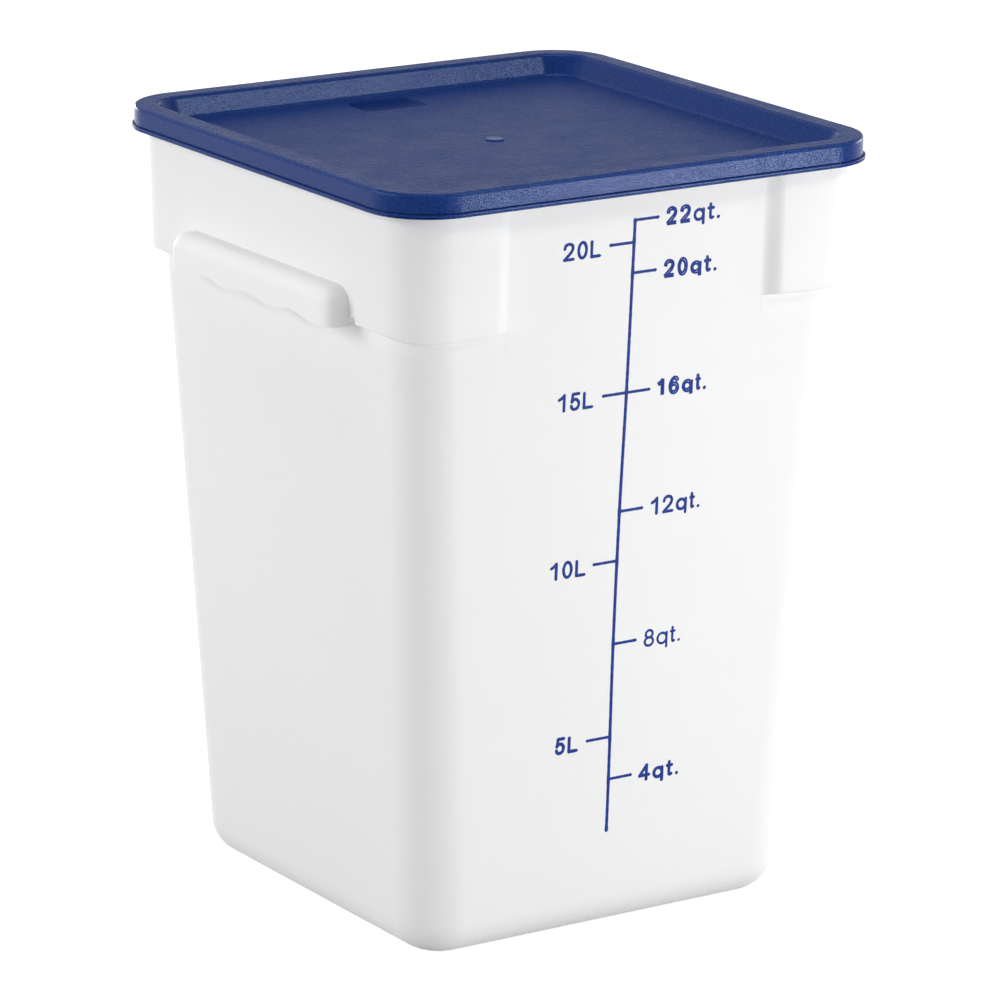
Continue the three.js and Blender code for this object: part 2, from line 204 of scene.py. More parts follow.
# Points that the upright line runs through, along the wall and up
LINE_KNOTS = [(-4.8 * MM, 54.6 * MM), (-5.0 * MM, 82.3 * MM), (-5.9 * MM, 155 * MM),
              (-5.5 * MM, 225 * MM), (-4.1 * MM, 286.7 * MM), (-3.1 * MM, 348 * MM),
              (-2.7 * MM, 374.9 * MM)]

# Words of the scale: height of the tick, left edge of the word, stroke of its figures, of its q and
# of its t, and the width of the t
SCALE_WORDS = {
    "22qt.": (374.9 * MM, 15.8 * MM, DOUBLE, MEDIUM, MEDIUM, WIDE_T),
    "20L": (363.4 * MM, -44.8 * MM, MEDIUM, 0, 0, 0),
    "20qt.": (348 * MM, 15.5 * MM, DOUBLE, DOUBLE, BROAD, WIDE_T),
    "16qt.": (287 * MM, 14.1 * MM, DOUBLE, DOUBLE, BROAD, NARROW_T),
    "15L": (286.3 * MM, -44.8 * MM, MEDIUM, 0, 0, 0),
    "12qt.": (225 * MM, 13.4 * MM, MEDIUM, MEDIUM, MEDIUM, NARROW_T),
    "10L": (199 * MM, -45.8 * MM, MEDIUM, 0, 0, 0),
    "8qt.": (155 * MM, 12.8 * MM, THIN, THIN, THIN, NARROW_T),
    "5L": (105.4 * MM, -38.5 * MM, BROAD, 0, 0, 0),
    "4qt.": (82.3 * MM, 13.3 * MM, BROAD, BROAD, BROAD, WIDE_T),
}

# Points along half a side of the tub, closest together where the notches are
SIDE_SHARES = (0.9, 0.785, 0.762, 0.75, 0.735, 0.722, 0.712, 0.5, 0.3, 0.1)
BAY_SHARES = (0.75, 0.5, 0.25)

# How finely curves are divided
CORNER_STEPS = 20
RAMP_STEPS = 8
FOOT_STEPS = 14
WALL_STEPS = 14
COLLAR_EDGE_STEPS = 5
COLLAR_STEPS = 8
FLARE_STEPS = 4
RIM_STEPS = 4
HANDLE_CORNER_STEPS = 8
HANDLE_END_STEPS = 3
HANDLE_TOP_STEPS = 24
HANDLE_ROUND_STEPS = 10
HANDLE_FACE_STEPS = 6
SECTION_STEPS = 7
RECESS_STEPS = 6
MARK_STEPS = 48
DISH_STEPS = 6
LINE_STEPS = 50
TICK_STEPS = 12
GLYPH_STEPS = 5
OVAL_STEPS = 28
STROKE_STEPS = 8
STROKE_END_ANGLES = (25 * DEG, 50 * DEG, 72 * DEG)

# Light. Each lamp has a place, its size across and up, and its power, and aims at LAMP_TARGET
WORLD_LIGHT = 0.155
FLOOR_SIZE = 8
FLOOR_COLOUR = 0.52
FLOOR_GLOW = 0.85
LAMP_TARGET = Vector((0, 0, 0.2))
LAMPS = {
    "left_softbox": ((-2.5, 0.7, 1.05), (2.2, 1.6), 44),
    "near_left_softbox": ((-2.2, -1.6, 0.8), (2.2, 2.0), 5),
    "right_softbox": ((1.48, -1.915, 2.32), (0.9, 0.45), 17.5),
    "front_softbox": ((0.9, -2.8, 0.35), (2.2, 0.6), 21.6),
    "low_softbox": ((0.7, -1.12, 0.142), (0.44, 0.13), 5.2),
    "top_softbox": ((0, 0, 3), (2.2, 2.0), 39),
    "back_softbox": ((0.1, 2.9, 0.3), (1.4, 0.5), 18),
    "side_softbox": ((2.9, 0.3, 0.3), (1.4, 0.5), 14),
}


def smooth(t):
    """0 below 0, 1 above 1, and a soft step between."""
    t = min(1, max(0, t))
    return t * t * (3 - 2 * t)


def mix(a, b, t):
    return a + (b - a) * t


# Materials

def new_material(name):
    """A material with its node tree, its shader and its object coordinates."""
    material = bpy.data.materials.new(name)
    material.use_nodes = True
    tree = material.node_tree
    shader = tree.nodes["Principled BSDF"]
    coords = tree.nodes.new("ShaderNodeTexCoord")
    return material, tree, shader, coords.outputs["Object"]


def noise(tree, coords, scale, detail=3.0, roughness=0.5):
    node = tree.nodes.new("ShaderNodeTexNoise")
    node.inputs["Scale"].default_value = scale
    node.inputs["Detail"].default_value = detail
    node.inputs["Roughness"].default_value = roughness
    tree.links.new(coords, node.inputs["Vector"])
    return node.outputs["Fac"]


def ramp(tree, value, stops):
    node = tree.nodes.new("ShaderNodeValToRGB")
    elements = node.color_ramp.elements
    while len(elements) < len(stops):
        elements.new(0.5)
    for element, (place, colour) in zip(elements, stops):
        element.position = place
        element.color = (*colour, 1)
    tree.links.new(value, node.inputs["Fac"])
    return node.outputs["Color"]


def spread(tree, value, low, high):
    """Value from 0.3 to 0.7 spread over low to high."""
    node = tree.nodes.new("ShaderNodeMapRange")
    node.inputs["From Min"].default_value = 0.3
    node.inputs["From Max"].default_value = 0.7
    node.inputs["To Min"].default_value = low
    node.inputs["To Max"].default_value = high
    tree.links.new(value, node.inputs["Value"])
    return node.outputs["Result"]


def bump(tree, height, depth, normal=None):
    node = tree.nodes.new("ShaderNodeBump")
    node.inputs["Distance"].default_value = depth
    tree.links.new(height, node.inputs["Height"])
    if normal:
        tree.links.new(normal, node.inputs["Normal"])
    return node.outputs["Normal"]


def white_plastic():
    material, tree, shader, coords = new_material("tub_white")
    cloud = noise(tree, coords, 9)
    tree.links.new(ramp(tree, cloud, [(0.3, (0.875, 0.878, 0.88)), (0.7, (0.885, 0.885, 0.885))]),
                   shader.inputs["Base Color"])
    tree.links.new(spread(tree, noise(tree, coords, 30), 0.38, 0.48), shader.inputs["Roughness"])
    shader.inputs["IOR"].default_value = 1.49
    shader.inputs["Specular IOR Level"].default_value = 0.14
    waves = bump(tree, noise(tree, coords, 12, 1), 0.05 * MM)
    tree.links.new(bump(tree, noise(tree, coords, 900, 2), 0.006 * MM, waves), shader.inputs["Normal"])
    return material


def blue_plastic(name, grain_scale, grain_depth, colours_with_painted_light, roughness, gloss, tint):
    """Blue plastic with a moulded grain. Its colour follows the grain's height: lighter at the tips as
    painted glints, darker in the hollows as painted shade.
    """
    material, tree, shader, coords = new_material(name)
    grain = noise(tree, coords, grain_scale, 1, 0.6)
    # Painted glints and shade: the grain's tips get the lightest colour and its hollows the darkest.
    tree.links.new(ramp(tree, grain, list(zip((0.3, 0.5, 0.7), colours_with_painted_light))), shader.inputs["Base Color"])
    tree.links.new(spread(tree, noise(tree, coords, 60), *roughness), shader.inputs["Roughness"])
    shader.inputs["IOR"].default_value = 1.5
    shader.inputs["Specular IOR Level"].default_value = gloss
    shader.inputs["Specular Tint"].default_value = (*tint, 1)
    tree.links.new(bump(tree, grain, grain_depth), shader.inputs["Normal"])
    return material


def ink():
    material, tree, shader, coords = new_material("print_ink")
    cloud = noise(tree, coords, 300, 4)
    tree.links.new(ramp(tree, cloud, [(0.3, (0.002, 0.024, 0.21)), (0.7, (0.003, 0.036, 0.265))]),
                   shader.inputs["Base Color"])
    tree.links.new(spread(tree, cloud, 0.45, 0.6), shader.inputs["Roughness"])
    shader.inputs["Specular IOR Level"].default_value = 0.2
    tree.links.new(bump(tree, noise(tree, coords, 1500), 0.03 * MM), shader.inputs["Normal"])
    return material


WHITE = white_plastic()
# The lid's finishes differ in grain, roughness and gloss, and their base colours are lit and shaded
# copies of one blue. The skirt's outer band and the rim's walls are painted lighter as painted light.
# The panel is painted darker as painted shade. The recess is darker still, as painted shade for the dark
# wall it reflects.
BLUE_PANEL_PAINTED_SHADE = blue_plastic("lid_panel_blue_painted_shade", 550, 0.8 * MM,
                          [(0.003, 0.02, 0.115), (0.005, 0.025, 0.131), (0.008, 0.031, 0.15)],
                          (0.33, 0.42), 0.05, (0.7, 0.8, 1))
BLUE_GRAINED_PAINTED_LIGHT = blue_plastic("lid_grained_blue_painted_light", 1150, 0.13 * MM,
                            [(0.002, 0.02, 0.125), (0.005, 0.031, 0.17), (0.013, 0.05, 0.23)],
                            (0.12, 0.15), 0.15, (0.6, 0.72, 1))
BLUE_WALL_PAINTED_LIGHT = blue_plastic("lid_wall_blue_painted_light", 1150, 0.08 * MM,
                         [(0.002, 0.019, 0.12), (0.005, 0.03, 0.165), (0.012, 0.046, 0.22)],
                         (0.13, 0.17), 0.14, (0.52, 0.68, 1))
BLUE_POLISHED_PAINTED_SHADE = blue_plastic("lid_polished_blue_painted_shade", 2000, 0.005 * MM,
                             [(0.002, 0.016, 0.1), (0.003, 0.019, 0.11), (0.004, 0.022, 0.12)],
                             (0.22, 0.26), 0.02, (0.6, 0.75, 1))
# Painted highlight: the round mark's top is a lighter blue than the panel round it.
BLUE_MARK_PAINTED_HIGHLIGHT = blue_plastic("lid_mark_blue_painted_highlight", 1150, 0.05 * MM,
                         [(0.03, 0.055, 0.17), (0.038, 0.066, 0.19), (0.046, 0.078, 0.21)],
                         (0.3, 0.4), 0.1, (1, 1, 1))
INK = ink()


# Meshes

def mesh_piece(name, points, faces, material, body, slot):
    """A mesh object with smooth shading that breaks at sharp edges."""
    mesh = bpy.data.meshes.new(name)
    mesh.from_pydata([tuple(p) for p in points], [], faces)
    cleaner = bmesh.new()
    cleaner.from_mesh(mesh)
    bmesh.ops.remove_doubles(cleaner, verts=cleaner.verts, dist=MERGE_GAP)
    bmesh.ops.recalc_face_normals(cleaner, faces=cleaner.faces)
    cleaner.to_mesh(mesh)
    cleaner.free()
    mesh.shade_smooth()
    mesh.set_sharp_from_angle(angle=SHARP_ANGLE)
    piece = bpy.data.objects.new(name, mesh)
    bpy.context.scene.collection.objects.link(piece)
    mesh.materials.append(material)
    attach(piece, body)
    return piece


def quads(rows, columns, wrap):
    """Faces between rows of points that are stored one after another."""
    last = columns if wrap else columns - 1
    return [(row * columns + i, row * columns + (i + 1) % columns,
             (row + 1) * columns + (i + 1) % columns, (row + 1) * columns + i)
            for row in range(rows - 1) for i in range(last)]


def closed_skin(rings):
    """Points and faces of a closed body through rings, with a flat cap on the first and last."""
    count = len(rings[0])
    points = [p for ring in rings for p in ring]
    faces = quads(len(rings), count, True)
    faces.append(tuple(reversed(range(count))))
    faces.append(tuple(range(len(points) - count, len(points))))
    return points, faces


def arc(radius, steps, start, end):
    angles = [mix(start, end, i / steps) for i in range(steps + 1)]
    return [(radius * math.cos(a), radius * math.sin(a)) for a in angles]


def side_places(reach, on_bay_side):
    """Where the points of one straight side lie, from one end to the other."""
    if not on_bay_side:
        half = [reach * share for share in SIDE_SHARES]
        return half + [-x for x in reversed(half)]
    squeeze = min(1, reach / (BAY_HALF + BAY_RAMP + MM))
    half = [(BAY_HALF + BAY_RAMP * (1 - i / RAMP_STEPS)) * squeeze for i in range(RAMP_STEPS + 1)]
    half += [BAY_HALF * squeeze * share for share in BAY_SHARES]
    return half + [0] + [-x for x in reversed(half)]


def square_ring(half, radius, z, bay_half=None):
    """A level square with round corners. Inside the bay its front and back lie at bay_half."""
    bay_half = half if bay_half is None else bay_half
    reach = half - radius
    points = []
    for corner in range(4):
        turn = corner * math.pi / 2
        side_x = 1 if corner in (0, 3) else -1
        side_y = 1 if corner in (0, 1) else -1
        for x, y in arc(radius, CORNER_STEPS, turn, turn + math.pi / 2):
            points.append((side_x * reach + x, side_y * reach + y, z))
        on_bay_side = corner % 2 == 0
        for place in side_places(reach, on_bay_side):
            if on_bay_side:
                inward = smooth((BAY_HALF + BAY_RAMP - abs(place)) / BAY_RAMP)
                points.append((place * side_y, mix(half, bay_half, inward) * side_y, z))
            else:
                points.append((half * side_x, place * side_y, z))
    return points


# Tub

def wall_half(z):
    return mix(TUB_BASE_HALF, TUB_RIM_HALF, z / TUB_HEIGHT)


def wall_corner(z):
    return mix(TUB_BASE_CORNER, TUB_RIM_CORNER, z / TUB_HEIGHT)


def collar_half(z):
    up = (z - COLLAR_BOTTOM_Z) / (TUB_HEIGHT - COLLAR_BOTTOM_Z)
    return mix(COLLAR_BOTTOM_HALF, COLLAR_RIM_HALF, up)


TUB_LEAN = math.atan((TUB_RIM_HALF - TUB_BASE_HALF) / TUB_HEIGHT)


def bulge(along, z):
    """How far a wall bows out at a place along it and a height."""
    across = max(0, 1 - (along / BULGE_REACH) ** 2) ** 2
    up = math.sin(math.pi * min(1, max(0, z / BULGE_TOP_Z)))
    return WALL_BULGE * across * up


def collar_shift(x, y):
    """How far the collar's lower edge lies above or below its mean height."""
    past_x = max(0, abs(x) - COLLAR_SIDE_END)
    past_y = max(0, abs(y) - COLLAR_SIDE_END)
    if past_y == 0:
        past_handle = abs(y) - HANDLE_HALF
        slope = min(past_handle, NOTCH_WIDTH - past_handle) / (NOTCH_SLOPE_SHARE * NOTCH_WIDTH)
        return COLLAR_SIDE_LIFT + NOTCH_HEIGHT * smooth(slope)
    turn = math.atan2(past_y, past_x) / COLLAR_CORNER_TURN
    rise = COLLAR_MIDDLE_LIFT * (1 - smooth((abs(x) - COLLAR_MIDDLE_END) / COLLAR_MIDDLE_FADE))
    return mix(COLLAR_SIDE_LIFT, rise - COLLAR_CORNER_DROP, smooth(turn))


def warp_tub(point):
    x, y, z = point
    fade = 1 - smooth(abs(z - COLLAR_BOTTOM_Z) / COLLAR_WARP_HEIGHT)
    out_x = bulge(y, z) if abs(x) > abs(y) else 0
    out_y = bulge(x, z) if abs(y) >= abs(x) else 0
    return (x + math.copysign(out_x, x), y + math.copysign(out_y, y), z + fade * collar_shift(x, y))


def foot_rings(inset, floor_z):
    radius = FOOT_RADIUS - inset
    centre_z = floor_z + radius
    meet_z = centre_z - radius * math.sin(TUB_LEAN)
    meet_half = wall_half(meet_z)
    centre_half = meet_half - inset - radius * math.cos(TUB_LEAN)
    rings = []
    for out, up in arc(radius, FOOT_STEPS, -math.pi / 2, -TUB_LEAN):
        half = centre_half + out
        rings.append(square_ring(half, wall_corner(meet_z) - (meet_half - half), centre_z + up))
    return rings


def wall_rings(inset, bottom_z):
    top_z = COLLAR_BOTTOM_Z - COLLAR_UNDERSIDE_RISE + inset
    rings = []
    for i in range(1, WALL_STEPS + 1):
        z = mix(bottom_z, top_z, i / WALL_STEPS)
        rings.append(square_ring(wall_half(z) - inset, wall_corner(z) - inset, z))
    return rings


def collar_rings(inset):
    rings = []
    centre_z = COLLAR_BOTTOM_Z + inset + COLLAR_EDGE_RADIUS
    corner = COLLAR_CORNER - inset
    for out, up in arc(COLLAR_EDGE_RADIUS, COLLAR_EDGE_STEPS, -math.pi / 2, 0):
        z = centre_z + up
        drawn_in = COLLAR_EDGE_RADIUS - out
        rings.append(square_ring(collar_half(z) - inset - drawn_in, corner - drawn_in, z,
                                 wall_half(z) - inset))
    for i in range(1, COLLAR_STEPS + 1):
        z = mix(centre_z, BAY_TOP_Z, i / COLLAR_STEPS)
        rings.append(square_ring(collar_half(z) - inset, corner, z, wall_half(z) - inset))
    for i in range(1, FLARE_STEPS + 1):
        z = mix(BAY_TOP_Z, BAY_FLARE_Z, i / FLARE_STEPS)
        half = collar_half(z) - inset
        bay_half = mix(wall_half(z) - inset, half, smooth(i / FLARE_STEPS))
        rings.append(square_ring(half, corner, z, bay_half))
    return rings


def rim_ring(offset, z):
    """A ring round the rim, outside the collar's outline by an offset."""
    return square_ring(COLLAR_RIM_HALF + offset, COLLAR_CORNER + offset, z)


def make_tub():
    outside = foot_rings(0, 0)
    stand_half = outside[0][0][0]
    stand_corner = stand_half - outside[0][0][1]
    hollow_half = stand_half - FOOT_RING_WIDTH
    rings = [square_ring(hollow_half - FOOT_HOLLOW_DEPTH, stand_corner, FOOT_HOLLOW_DEPTH),
             square_ring(hollow_half, stand_corner, 0)]
    rings += outside + wall_rings(0, outside[-1][0][2]) + collar_rings(0)
    rings += [rim_ring(0, RIM_LIP_Z), rim_ring(RIM_LIP_REACH, RIM_LIP_Z)]
    rings += [rim_ring(RIM_LIP_REACH - RIM_ROUND + out, TUB_HEIGHT - RIM_ROUND + up)
              for out, up in arc(RIM_ROUND, RIM_STEPS, 0, math.pi / 2)]
    rings.append(rim_ring(-TUB_WALL, TUB_HEIGHT))
    inside = foot_rings(TUB_WALL, FOOT_HOLLOW_DEPTH + FLOOR_THICKNESS)
    inside += wall_rings(TUB_WALL, inside[-1][0][2]) + collar_rings(TUB_WALL)
    rings += reversed(inside)
    points, faces = closed_skin(rings)
    points = [warp_tub(p) for p in points]
    return mesh_piece("tub_moulding", points, faces, WHITE, "tub", "white_plastic")


# Handles

def finger_edge(y):
    """Height of a handle's wavy lower edge at a place along it."""
    turns = min(abs(y) / WAVE_PITCH, WAVE_END)
    return HANDLE_MIDDLE_Z + WAVE_HEIGHT * math.cos(2 * math.pi * turns)


def handle_outline(inset, low_z):
    """Up one end, along the top and down the other end of a handle, as places and heights."""
    end = HANDLE_HALF - inset
    top = HANDLE_TOP_Z - inset
    radius = max(HANDLE_CORNER - inset, HANDLE_WALL)
    first_corner = arc(radius, HANDLE_CORNER_STEPS, 0, math.pi / 2)
    second_corner = arc(radius, HANDLE_CORNER_STEPS, math.pi / 2, math.pi)
    line = [(end, mix(low_z, top - radius, i / HANDLE_END_STEPS)) for i in range(HANDLE_END_STEPS)]
    line += [(end - radius + c, top - radius + s) for c, s in first_corner]
    line += [(mix(end - radius, radius - end, i / HANDLE_TOP_STEPS), top)
             for i in range(1, HANDLE_TOP_STEPS)]
    line += [(radius - end + c, top - radius + s) for c, s in second_corner]
    line += [(-end, mix(top - radius, low_z, i / HANDLE_END_STEPS))
             for i in range(1, HANDLE_END_STEPS + 1)]
    return line


def handle_grid(wall):
    """Rows of one face of the left handle's shell, wall deep inside its outer face."""
    low_z = HANDLE_MIDDLE_Z - WAVE_HEIGHT
    reach = HANDLE_REACH - wall
    radius = HANDLE_ROUND - wall
    steps = [(-HANDLE_ROOT, wall), (0, wall), ((reach - radius) / 2, wall)]
    steps += [(reach - radius + out, wall + radius - side)
              for side, out in arc(radius, HANDLE_ROUND_STEPS, 0, math.pi / 2)]
    rows = []
    for out, inset in steps:
        rows.append([(-collar_half(z) - out, y, z) for y, z in handle_outline(inset, low_z)])
    rows[0] = [(x + (HANDLE_DEEP_ROOT if z < HANDLE_DEEP_TOP_Z else 0), y, z)
               for x, y, z in rows[0]]
    end = HANDLE_HALF - wall - radius
    line = handle_outline(wall + radius, low_z)
    for i in range(1, HANDLE_FACE_STEPS + 1):
        down = i / HANDLE_FACE_STEPS
        row = []
        for j, (y, z) in enumerate(line):
            edge_y = mix(end, -end, j / (len(line) - 1))
            at_y = mix(y, edge_y, down)
            at_z = mix(z, finger_edge(edge_y), down)
            row.append((-collar_half(at_z) - reach, at_y, at_z))
        rows.append(row)
    return rows


def shell_between(outer, inner):
    """Points and faces of a closed shell between two grids of equal size."""
    rows = len(outer)
    columns = len(outer[0])
    points = [p for row in outer + inner for p in row]
    start = rows * columns
    faces = quads(rows, columns, False)
    faces += [tuple(start + i for i in reversed(face)) for face in quads(rows, columns, False)]
    border = list(range(columns))
    border += [row * columns + columns - 1 for row in range(1, rows)]
    border += [(rows - 1) * columns + i for i in reversed(range(columns - 1))]
    border += [row * columns for row in reversed(range(1, rows - 1))]
    for i, a in enumerate(border):
        b = border[(i + 1) % len(border)]
        faces.append((b, a, start + a, start + b))
    return points, faces


def make_handles():
    for name, turn in (("left_handle", 0), ("right_handle", math.pi)):
        points, faces = shell_between(handle_grid(0), handle_grid(HANDLE_WALL))
        rotation = Matrix.Rotation(turn, 3, "Z")
        mesh_piece(name, [rotation @ Vector(p) for p in points], faces, WHITE, "tub", "white_plastic")


# Lid

def lid_section():
    """The lid's section as offsets, heights and radii of its corners."""
    rim_in = LID_SKIRT - LID_RIM_WIDTH
    panel_out = rim_in - LID_WALL_RUN
    slope = LID_WALL_RUN / (LID_TOP_Z - LID_PANEL_Z)
    wall_offset = LID_THICKNESS * math.hypot(1, slope)
    plug_z = LID_PANEL_Z - LID_THICKNESS
    plug_top = rim_in - slope * (LID_TOP_Z - TUB_HEIGHT) + wall_offset
    plug_foot = plug_top - slope * (TUB_HEIGHT - plug_z)
    groove_z = LID_BEAD_Z + GROOVE_RISE
    line_z = mix(LID_SKIRT_Z, LID_BEAD_Z, BEAD_LINE_SHARE)
    return [
        (plug_foot - PLUG_MARGIN, plug_z, 0),
        (plug_foot, plug_z, PLUG_ROUND),
        (plug_top, TUB_HEIGHT, 0),
        (LID_INNER, TUB_HEIGHT, 0),
        (LID_INNER, LID_SKIRT_Z, 0),
        (LID_BEAD - BEAD_FOOT_INSET, LID_SKIRT_Z, BEAD_FOOT_ROUND),
        (LID_BEAD - BEAD_FOOT_INSET, line_z - BEAD_LINE_DEPTH, BEAD_LINE_EDGE_ROUND),
        (LID_BEAD - BEAD_LINE_DEPTH, line_z, BEAD_LINE_ROUND),
        (LID_BEAD, line_z + BEAD_LINE_DEPTH, BEAD_LINE_EDGE_ROUND),
        (LID_BEAD, LID_BEAD_Z, BEAD_TOP_ROUND),
        (LID_SKIRT - GROOVE_DEPTH, groove_z, GROOVE_ROUND),
        (LID_SKIRT - GROOVE_DEPTH, groove_z + GROOVE_HEIGHT, GROOVE_ROUND),
        (LID_SKIRT, groove_z + GROOVE_HEIGHT + GROOVE_CHAMFER, GROOVE_ROUND),
        (LID_SKIRT, LID_TOP_Z, RIM_OUTER_ROUND),
        (rim_in, LID_TOP_Z, RIM_INNER_ROUND),
        (panel_out, LID_PANEL_Z, PANEL_ROUND),
        (panel_out - PANEL_MARGIN, LID_PANEL_Z, 0),
    ]


def rounded_section(corners):
    """Points along a section whose corners are rounded over by quadratic curves.

    Two more points near the ends of each straight run keep the shading of that run flat.
    """
    path = [Vector(corners[0][:2])]
    for i in range(1, len(corners) - 1):
        here = Vector(corners[i][:2])
        cut = corners[i][2]
        if cut == 0:
            path.append(here)
            continue
        before = here + (Vector(corners[i - 1][:2]) - here).normalized() * cut
        after = here + (Vector(corners[i + 1][:2]) - here).normalized() * cut
        for j in range(SECTION_STEPS + 1):
            t = j / SECTION_STEPS
            path.append(before * (1 - t) ** 2 + here * 2 * t * (1 - t) + after * t ** 2)
    path.append(Vector(corners[-1][:2]))
    supported = []
    for here, ahead in zip(path, path[1:]):
        supported.append(here)
        if (ahead - here).length > 4 * SUPPORT_GAP:
            step = (ahead - here).normalized() * SUPPORT_GAP
            supported += [here + step, ahead - step]
    return supported + [path[-1]]


def recess_loop(offset, depth):
    """Outline of the panel's recess, widened by an offset, at a depth below the panel."""
    panel_half = COLLAR_RIM_HALF + LID_SKIRT - LID_RIM_WIDTH - LID_WALL_RUN
    middle = panel_half - RECESS_BACK_GAP - RECESS_HALF_LENGTH
    radius = RECESS_CORNER + offset
    loop = []
    for corner in range(4):
        turn = corner * math.pi / 2
        side_x = 1 if corner in (0, 3) else -1
        side_y = 1 if corner in (0, 1) else -1
        loop += [(side_x * (RECESS_HALF_WIDTH - RECESS_CORNER) + x,
                  middle + side_y * (RECESS_HALF_LENGTH - RECESS_CORNER) + y, LID_PANEL_Z - depth)
                 for x, y in arc(radius, RECESS_STEPS, turn, turn + math.pi / 2)]
    return loop


def round_loop(radius, height):
    return [(x, y, LID_PANEL_Z + height) for x, y in arc(radius, MARK_STEPS, 0, 2 * math.pi)[:-1]]


def panel_faces(edge):
    """Points and faces of the panel's flat top inside edge, with its recess and its round mark."""
    edge_radius = RECESS_EDGE_SHARE * RECESS_DEPTH
    recess = [recess_loop(offset, depth) for offset, depth in (
        (FLAT_BORDER, 0),
        (edge_radius, 0),
        (0, edge_radius),
        (-edge_radius, RECESS_DEPTH - edge_radius),
        (-2 * edge_radius, RECESS_DEPTH),
        (-FLAT_BORDER, RECESS_DEPTH),
    )]
    mark = [round_loop(DISH_RADIUS + FLAT_BORDER, 0)]
    for i in range(DISH_STEPS + 1):
        share = i / DISH_STEPS
        mark.append(round_loop(mix(DISH_RADIUS, MARK_RADIUS, share), -DISH_DEPTH * smooth(share)))
    mark += [round_loop(MARK_RADIUS - MARK_BEVEL * share, mix(-DISH_DEPTH, MARK_HEIGHT, share))
             for share in (0.25, 0.5, 0.75, 1)]
    mark.append(round_loop(MARK_RADIUS / 2, MARK_HEIGHT))
    loops = [edge, recess[0], mark[0]]
    flat = [Vector(p[:2]) for loop in loops for p in loop]
    borders = []
    start = 0
    for loop in loops:
        borders += [(start + i, start + (i + 1) % len(loop)) for i in range(len(loop))]
        start += len(loop)
    places, _, triangles, *_ = delaunay_2d_cdt(flat, borders, [], 0, MM / 1000)
    points = [(p.x, p.y, LID_PANEL_Z) for p in places]
    faces = []
    for triangle in triangles:
        middle = sum((places[i] for i in triangle), Vector((0, 0))) / 3
        if not any(is_inside(middle, loop) for loop in (recess[0], mark[0])):
            faces.append(tuple(triangle))
    for loops in (recess, mark):
        start = len(points)
        points += [p for loop in loops for p in loop]
        count = len(loops[0])
        faces += [tuple(start + i for i in face) for face in quads(len(loops), count, True)]
        faces.append(tuple(range(len(points) - count, len(points))))
    return points, faces


def is_inside(point, loop):
    """Whether a place lies inside a loop that bends one way only."""
    for i, here in enumerate(loop):
        ahead = loop[(i + 1) % len(loop)]
        if (ahead[0] - here[0]) * (point.y - here[1]) < (ahead[1] - here[1]) * (point.x - here[0]):
            return False
    return True


def make_lid():
    section = rounded_section(lid_section())
    rings = [rim_ring(p.x, p.y) for p in section]
    count = len(rings[0])
    points = [p for ring in rings for p in ring]
    faces = quads(len(rings), count, True)
    faces.append(tuple(reversed(range(count))))
    panel, panel_quads = panel_faces(rings[-1])
    faces += [tuple(len(points) + i for i in face) for face in panel_quads]
    points += panel
    lid = mesh_piece("lid_moulding", points, faces, BLUE_PANEL_PAINTED_SHADE, "lid", "blue_plastic")
    finishes_and_painted_tones = (BLUE_PANEL_PAINTED_SHADE, BLUE_GRAINED_PAINTED_LIGHT, BLUE_POLISHED_PAINTED_SHADE, BLUE_WALL_PAINTED_LIGHT, BLUE_MARK_PAINTED_HIGHLIGHT)
    for material in finishes_and_painted_tones[1:]:
        lid.data.materials.append(material)
    # Each face takes a finish whose base colour also carries painted light or painted shade.
    for face in lid.data.polygons:
        centre = face.center
        above = centre.z - LID_PANEL_Z
        out = max(abs(centre.x), abs(centre.y)) - COLLAR_RIM_HALF
        finish_and_painted_tone = BLUE_PANEL_PAINTED_SHADE
        if len(face.vertices) > 4 and centre.y > 0 and abs(above + RECESS_DEPTH) < MM / 100:
            finish_and_painted_tone = BLUE_POLISHED_PAINTED_SHADE
        elif out > LID_SKIRT - EDGE_BAND:
            finish_and_painted_tone = BLUE_GRAINED_PAINTED_LIGHT
        elif above > MARK_HEIGHT and abs(face.normal.z) < WALL_FACING:
            finish_and_painted_tone = BLUE_WALL_PAINTED_LIGHT
        # Painted highlight on the mark's top.
        elif math.hypot(centre.x, centre.y) < MARK_RADIUS and above > 0.9 * MARK_HEIGHT:
            finish_and_painted_tone = BLUE_MARK_PAINTED_HIGHLIGHT
        face.material_index = finishes_and_painted_tones.index(finish_and_painted_tone)
    return lid


# Print on the front wall

def on_front_wall(x, z, lift):
    """A place on the bowed front wall, a little proud of it."""
    y = -wall_half(z) - bulge(x, z) - lift * math.cos(TUB_LEAN)
    return (x, y, z - lift * math.sin(TUB_LEAN))


def spline(knots, steps):
    """A smooth line through all the knots."""
    last = len(knots) - 1
    line = []
    for i in range(last):
        before, here, after, beyond = (Vector(knots[min(max(j, 0), last)])
                                       for j in range(i - 1, i + 3))
        for step in range(steps):
            t = step / steps
            line.append((2 * here + (after - before) * t
                         + (2 * before - 5 * here + 4 * after - beyond) * t ** 2
                         + (3 * here - before - 3 * after + beyond) * t ** 3) / 2)
    line.append(Vector(knots[-1]))
    return line


def oval(centre, half):
    return [Vector((centre[0] + half[0] * x, centre[1] + half[1] * y))
            for x, y in arc(1, OVAL_STEPS, 0, 2 * math.pi)[:-1]]


def directions(line, closed):
    """The way along a line at each of its points."""
    count = len(line)
    ways = []
    for i, here in enumerate(line):
        before = line[i - 1] if closed or i > 0 else here
        after = line[(i + 1) % count] if closed or i < count - 1 else here
        ways.append((after - before).normalized())
    return ways


